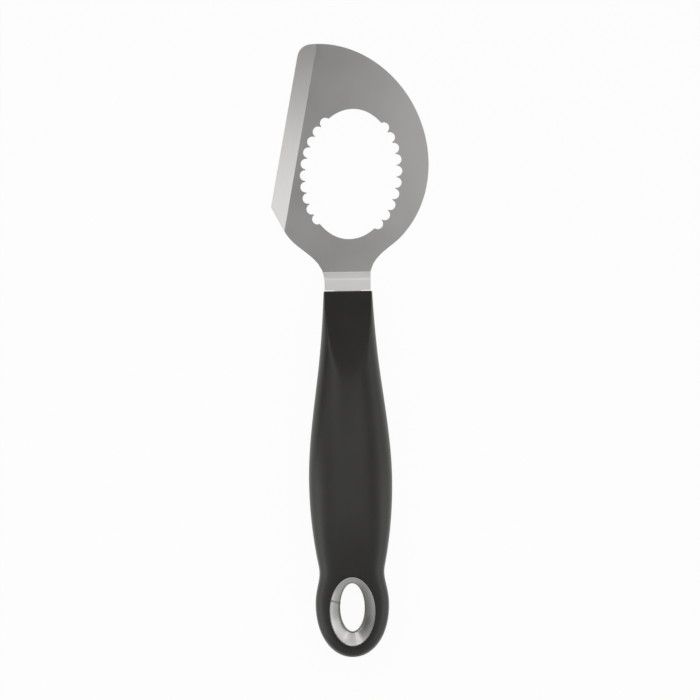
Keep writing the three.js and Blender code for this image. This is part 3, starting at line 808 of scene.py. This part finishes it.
def satinSteel(look, b):
    f = Finish("satin_steel")
    x, y, z = f.place()
    lean = math.radians(b["edgeLean"])
    heelX, heelY = b["heelCorner"]
    fromEdge = (x - heelX) * math.cos(lean) - (y - heelY) * math.sin(lean)
    alongEdge = (x - heelX) * math.sin(lean) + (y - heelY) * math.cos(lean)
    grain, width, soft = look["grainPerMm"], b["grindWidth"], look["grindSoft"]
    ground = (1 - f.between(fromEdge, width - soft, width + soft)) * (y > look["grindFrom"])
    rolled = f.noise(f.join(x * grain, y * look["rolledPerMm"], z))
    grind = f.noise(f.join(alongEdge * grain, fromEdge * look["groundPerMm"], z))
    lines = rolled * (1 - ground) + grind * ground
    cloud = f.cloud(f.join(x, y, z), look["cloudPerMm"])
    tone = cloud * look["cloudShare"] + lines * (1 - look["cloudShare"])
    uneven = look["roughness"] + (lines - 0.5) * look["lineRoughness"]
    return f.surface({
        "Base Color": f.tone(tone, look),
        "Metallic": 1.0,
        "Roughness": uneven + (cloud - 0.5) * look["cloudRoughness"],
        "Normal": f.bump(lines, *look["bump"]),
    })


gripLook = {
    "deep": (0.0072, 0.0062, 0.0036),
    "pale": (0.0098, 0.0086, 0.0056),
    "sparkPerMm": 3.2,  # fine texture of the mould
    "sparkShare": 0.45,  # of the tone; the patches have the rest
    "patchPerMm": 0.09,
    "roughness": 0.36,
    "patchRoughness": 0.12,
    "sparkRoughness": 0.1,
    "specular": 0.6,
    "partingHeight": 5.8,
    "partingHalf": (0.03, 0.12),  # half width of the parting line, without and with its soft sides
    "partingRise": 0.5,
    "bump": (0.25, 0.00004),
}


def softBlack(look):
    f = Finish("soft_black")
    x, y, z = f.place()
    where = f.join(x, y, z)
    spark = f.noise(where, look["sparkPerMm"], roughness=0.65)
    patch = f.noise(where, look["patchPerMm"], roughness=0.5)
    tone = spark * look["sparkShare"] + patch * (1 - look["sparkShare"])
    uneven = look["roughness"] + (patch - 0.5) * look["patchRoughness"]
    parting = 1 - f.between(abs(z - look["partingHeight"]), *look["partingHalf"])
    return f.surface({
        "Base Color": f.tone(tone, look),
        "Roughness": uneven + (spark - 0.5) * look["sparkRoughness"],
        "Normal": f.bump(spark + parting * look["partingRise"], *look["bump"]),
        "Specular IOR Level": look["specular"],
    })


ringLook = {
    "pale": (0.5, 0.495, 0.487),
    "deep": (0.45, 0.445, 0.437),
    "cloudPerMm": 0.2,
    "cloudShare": 0.6,  # of the tone; the brushed lines have the rest
    "brushedPerMm": (0.8, 7.0),  # along x and y, and upwards
    "brushedRise": 0.3,
    "roughness": 0.2,
    "brushedRoughness": 0.08,
    "seam": (0.14, 0.14, 0.135, 1.0),
    "seamCover": 0.55,
    "seamRoughness": 0.2,
    "seamAt": (-7.0, -128.05),
    "seamLean": 0.3,
    "seamHalf": (0.12, 0.6),  # half width, without and with its soft sides
    "seamUpTo": -3.0,  # no seam to the right of this x
    "bump": (0.2, 0.00005),
}


def brightRing(look):
    f = Finish("bright_ring")
    x, y, z = f.place()
    level, upright = look["brushedPerMm"]
    brushed = f.noise(f.join(x * level, y * level, z * upright))
    cloud = f.cloud(f.join(x, y, z), look["cloudPerMm"])
    seamX, seamY = look["seamAt"]
    offSeam = abs(y - seamY + (x - seamX) * look["seamLean"])
    seam = (1 - f.between(offSeam, *look["seamHalf"])) * (x < look["seamUpTo"])
    metal = f.tone(brushed * (1 - look["cloudShare"]) + cloud * look["cloudShare"], look)
    uneven = look["roughness"] + (brushed - 0.5) * look["brushedRoughness"]
    return f.surface({
        "Base Color": f.mix(seam * look["seamCover"], metal, look["seam"]),
        "Metallic": 1.0,
        "Roughness": uneven + seam * look["seamRoughness"],
        "Normal": f.bump(brushed * look["brushedRise"] - seam, *look["bump"]),
    })


coreLook = {
    "deep": (0.02, 0.02, 0.02),
    "pale": (0.032, 0.032, 0.031),
    "fleckPerMm": 1.6,
    "roughness": 0.42,
    "fleckRoughness": 0.15,
    "bump": (0.2, 0.00003),
}


def corePlastic(look):
    f = Finish("core_plastic")
    x, y, z = f.place()
    fleck = f.noise(f.join(x, y, z), look["fleckPerMm"])
    return f.surface({
        "Base Color": f.tone(fleck, look),
        "Roughness": look["roughness"] + (fleck - 0.5) * look["fleckRoughness"],
        "Normal": f.bump(fleck, *look["bump"]),
    })


handOver(blade, ["blade"], satinSteel(steelLook, bladeShape))
handOver(grip, ["grip"], softBlack(gripLook))
ringMetal = brightRing(ringLook)
handOver(ringFront, ["ring_front"], ringMetal)
handOver(ringBack, ["ring_back"], ringMetal)
core = corePlastic(coreLook)
for name in ("core_front", "core_back"):
    paint(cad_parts[name], core)
print("finishes made")


# Stage, camera and light

stageLook = {
    "floorHalf": 6.0,
    "floorHeight": -0.0003,
    "floorShade": 0.86,
    "floorGlow": 0.95,  # share of the floor that is plain white to the camera
    "heights": (0.0, 0.35, 0.65, 0.85, 1.0),  # sines of the heights that the walls' light is given at
    "walls": {
        "right": (0.36, 0.76, 0.68, 0.36),
        "left": (0.27, 0.31, 0.82, 0.48),
        "ahead": (0.62, 0.97, 0.95, 0.0),
        "behind": (0.66, 0.62, 0.68, 0.5),
    },
    "zenith": 0.12,  # at the last height, where the walls meet
    "panels": (  # degrees to the right of ahead, half width in degrees, strength; below 0 it is darker
        (32.0, 12.0, 0.25),
        (-29.0, 11.0, 0.6),
        (58.0, 24.0, 0.45),
        (-63.0, 20.0, -0.14),
    ),
    "panelSoft": 2.5,  # degrees that a panel's sides fade over, each way
    "panelFoot": (0.02, 0.1),  # sines of the heights over which the panels come in
    "panelTop": (0.48, 0.62),  # and go out
    "camera": (0.00048, -0.03524),  # above this point
    "cameraDistance": 6.0,
    "cameraReach": 50.0,  # how far it sees
    "frameWidth": 0.259,  # across the picture, at the height below
    "frameHeight": 0.005,
    "roll": -0.83,
    "sensor": 36.0,
}

# place, target, size and power of each lamp
lampLook = {
    "left_strip": ((-0.32, -0.175, 0.11), (0.0, -0.175, 0.11), (0.24, 0.2), 0.2),
    "right_strip": ((0.32, -0.185, 0.11), (0.0, -0.185, 0.11), (0.24, 0.2), 0.108),
    "ring_panel": ((0.25, -0.135, 0.21), (0.0, -0.132, 0.0135), (0.23, 0.1), 0.038),
    "bevel_panel": ((-0.1, 0.0235, 0.2), (-0.1, 0.0235, 0.0), (0.09, 0.087), 0.0272),
    "blade_panel": ((0.06, 0.045, 0.3), (0.06, 0.045, 0.0), (0.1, 0.12), 0.0242),
    "handle_panel": ((0.0, -0.083, 0.1), (0.0, -0.083, 0.0), (0.09, 0.1), 0.017),
}
# pieces that a lamp doesn't light
lampPasses = {
    "left_strip": (ringFront, ringBack),
    "right_strip": (ringFront, ringBack),
    "ring_panel": (grip, blade),
}


# A square of paper that the camera and reflections see as nearly white, and that keeps the shadow.
def makeFloor(look):
    half = look["floorHalf"]
    corners = np.array([(-half, -half), (half, -half), (half, half), (-half, half)])
    points = np.column_stack([corners, np.full(4, look["floorHeight"])])
    mesh = bpy.data.meshes.new("pale_floor")
    mesh.from_pydata(points.tolist(), [], [(0, 1, 2, 3)])
    floor = newObject("pale_floor", mesh)
    f = Finish("pale_floor")
    kinds = ("Camera", "Glossy", "Transmission")
    camera, glossy, passed = (f.node("ShaderNodeLightPath", output=f"Is {kind} Ray") for kind in kinds)
    seen = camera.atLeast(glossy).atLeast(passed)
    paper = f.node("ShaderNodeBsdfDiffuse", {}, {"Color": (look["floorShade"],) * 3 + (1.0,)})
    glow = f.node("ShaderNodeEmission", {}, {"Color": (1, 1, 1, 1), "Strength": 1.0})
    both = f.node("ShaderNodeMixShader", {}, {0: seen * look["floorGlow"], 1: paper, 2: glow})
    f.node("ShaderNodeOutputMaterial", {}, {"Surface": both})
    paint(floor, f.material)


# The room: four walls, each with its own light by height, blended by the square of how far a direction
# faces them, and brighter or darker panels to either side of the way that the blade points.
def makeRoom(look):
    world = bpy.data.worlds.new("room")
    bpy.context.scene.world = world
    f = Finish("room", world)
    x, y, z = f.axes(f.node("ShaderNodeTexCoord", output="Generated"))
    level = (x * x + y * y + tiny).root()
    right, ahead = x / level, y / level
    facings = {"right": right, "left": -right, "ahead": ahead, "behind": -ahead}
    grey = 0.0
    for wall, lights in look["walls"].items():
        stops = zip(look["heights"], (*lights, look["zenith"]))
        colour = f.ramp(z, [(height, (light,) * 3) for height, light in stops])
        facing = facings[wall].atLeast(0.0)
        grey = grey + f.node("ShaderNodeRGBToBW", {}, {0: colour}) * facing * facing
    risen = f.between(z, *look["panelFoot"]) * (1 - f.between(z, *look["panelTop"]))
    for turn, half, strength in look["panels"]:
        facing = ahead * math.cos(math.radians(turn)) + right * math.sin(math.radians(turn))
        sides = (half + look["panelSoft"], half - look["panelSoft"])
        inside = f.between(facing, *(math.cos(math.radians(side)) for side in sides))
        grey = grey + inside * risen * strength
    light = f.node("ShaderNodeBackground", {}, {"Color": f.join(grey, grey, grey), "Strength": 1.0})
    f.node("ShaderNodeOutputWorld", {}, {"Surface": light})


# A lamp that points at its target; the pieces in passing aren't lit by it.
def makeLamp(name, place, target, size, power, passing):
    lamp = bpy.data.lights.new(name, "AREA")
    lamp.shape = "RECTANGLE"
    lamp.size, lamp.size_y = size
    lamp.energy = power
    holder = newObject(name, lamp)
    holder.location = place
    way = Vector([there - here for there, here in zip(target, place)])
    holder.rotation_euler = way.to_track_quat("-Z", "Y").to_euler()
    holder.visible_camera = False
    if passing:
        apart = bpy.data.collections.new(f"{name}_passes")
        for piece in passing:
            apart.objects.link(piece)
        for entry in apart.collection_objects:
            entry.light_linking.link_state = "EXCLUDE"
        holder.light_linking.receiver_collection = apart


def makeCamera(look):
    camera = bpy.data.cameras.new("camera")
    camera.sensor_width = look["sensor"]
    camera.lens = look["sensor"] * look["cameraDistance"] / look["frameWidth"]
    camera.clip_end = look["cameraReach"]
    holder = newObject("camera", camera)
    holder.location = (*look["camera"], look["frameHeight"] + look["cameraDistance"])
    holder.rotation_euler = (0.0, 0.0, math.radians(look["roll"]))
    bpy.context.scene.camera = holder


makeFloor(stageLook)
makeRoom(stageLook)
makeCamera(stageLook)
for name, lamp in lampLook.items():
    makeLamp(name, *lamp, lampPasses.get(name, ()))
bpy.context.scene.view_settings.view_transform = "Standard"
print("stage, camera and light made")
